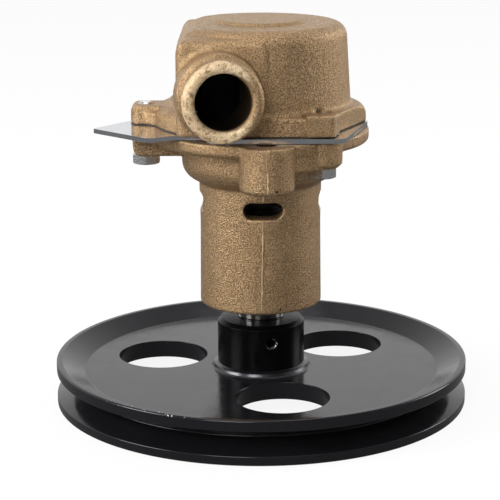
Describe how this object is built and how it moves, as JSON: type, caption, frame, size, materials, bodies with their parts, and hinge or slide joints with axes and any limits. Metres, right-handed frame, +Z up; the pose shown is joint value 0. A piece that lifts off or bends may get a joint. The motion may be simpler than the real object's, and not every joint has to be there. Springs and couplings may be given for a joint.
{
  "type": "flexible impeller pump",
  "caption": "Belt-driven flexible impeller pump with a bronze pump body and side hose ports, a polished mounting plate, a bronze bearing housing with drain slots and a black V-belt pulley.",
  "frame": {"origin": "centre of the bounding box in plan, on the shaft axis, at the level of the pulley's lower rim", "axes": "+Z runs up the shaft from the pulley to the pump body, the front hose port faces -Y and the plate's tab reaches towards -X"},
  "size_m": [0.1778, 0.1778, 0.1641],
  "materials": {
    "cast_bronze": "sand cast bronze, matte with bright speckle",
    "black_paint": "satin black paint",
    "polished_steel": "polished stainless sheet",
    "bright_steel": "zinc plated or turned steel",
    "bearing_steel": "ground bearing steel",
    "turned_brass": "turned brass",
    "black_rubber": "moulded rubber",
    "gasket": "oiled gasket paper",
    "seal_ceramic": "lapped ceramic",
    "seal_carbon": "lapped carbon"
  },
  "bodies": {
    "casing": {"bearing_housing": "cast_bronze", "housing_gasket": "gasket", "mount_plate": "polished_steel", "body_gasket": "gasket", "pump_body": "cast_bronze", "flange_screws": "bright_steel", "cam": "turned_brass", "cam_screw": "bright_steel", "wear_plate": "polished_steel", "seal_seat": "seal_ceramic", "seat_cup": "black_rubber", "lip_seal_case": "bright_steel", "lip_seal_rubber": "black_rubber", "upper_outer_race": "bearing_steel", "upper_shields": "black_rubber", "lower_outer_race": "bearing_steel", "lower_shields": "black_rubber", "outer_spacer": "bright_steel", "housing_ring": "bright_steel"},
    "rotor": {"shaft": "bright_steel", "pulley_upper_disc": "black_paint", "pulley_lower_disc": "black_paint", "pulley_hub": "black_paint", "hub_weld": "black_paint", "set_screw": "bright_steel", "pulley_key": "bright_steel", "impeller_insert": "turned_brass", "impeller_rubber": "black_rubber", "impeller_key": "bright_steel", "impeller_ring": "bright_steel", "impeller_sleeve": "turned_brass", "seal_carbon": "seal_carbon", "seal_bellows": "black_rubber", "seal_case": "bright_steel", "slinger": "black_rubber", "upper_inner_race": "bearing_steel", "lower_inner_race": "bearing_steel", "inner_spacer": "bright_steel", "shaft_rings": "bright_steel"},
    "upper_ball_set": {"upper_balls": "bearing_steel", "upper_cage": "turned_brass"},
    "lower_ball_set": {"lower_balls": "bearing_steel", "lower_cage": "turned_brass"}
  },
  "joints": [
    {"name": "shaft_spin", "type": "hinge", "parent": "casing", "child": "rotor", "pos_m": [0, 0, 0.06182], "axis": [0, 0, 1], "continuous": true, "deforming": ["impeller_rubber"]},
    {"name": "upper_ball_spin", "type": "hinge", "parent": "casing", "child": "upper_ball_set", "pos_m": [0, 0, 0.07085], "axis": [0, 0, 1], "continuous": true},
    {"name": "lower_ball_spin", "type": "hinge", "parent": "casing", "child": "lower_ball_set", "pos_m": [0, 0, 0.05279], "axis": [0, 0, 1], "continuous": true}
  ],
  "couplings": [
    {"joint": "upper_ball_spin", "follows": "shaft_spin", "ratio": 0.3857},
    {"joint": "lower_ball_spin", "follows": "shaft_spin", "ratio": 0.3857}
  ]
}
